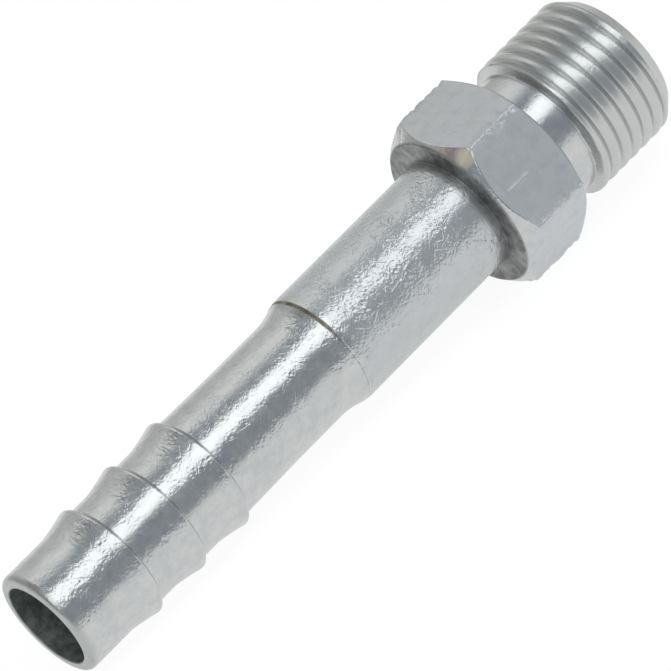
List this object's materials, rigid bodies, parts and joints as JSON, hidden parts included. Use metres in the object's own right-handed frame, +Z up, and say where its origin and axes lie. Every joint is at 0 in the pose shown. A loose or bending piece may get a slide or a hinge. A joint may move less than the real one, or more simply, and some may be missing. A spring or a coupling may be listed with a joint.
{
  "type": "hose barb tail",
  "caption": "Straight metal hose tail: barbed spigot, plain stem, hexagon with a flat sealing face and a male threaded end, bored right through.",
  "frame": {"origin": "on the bore's axis, in the plane of the hexagon's sealing face", "axes": "+X along the bore towards the threaded end, +Z up with one flat of the hexagon facing straight down, Y across the hexagon's corners"},
  "size_m": [0.0777, 0.0196, 0.017],
  "materials": {
    "zinc_plated_steel": "turned steel with bright zinc plate, dulled and dented by tumbling"
  },
  "bodies": {
    "root": {"hose_tail": "zinc_plated_steel"}
  },
  "joints": []
}
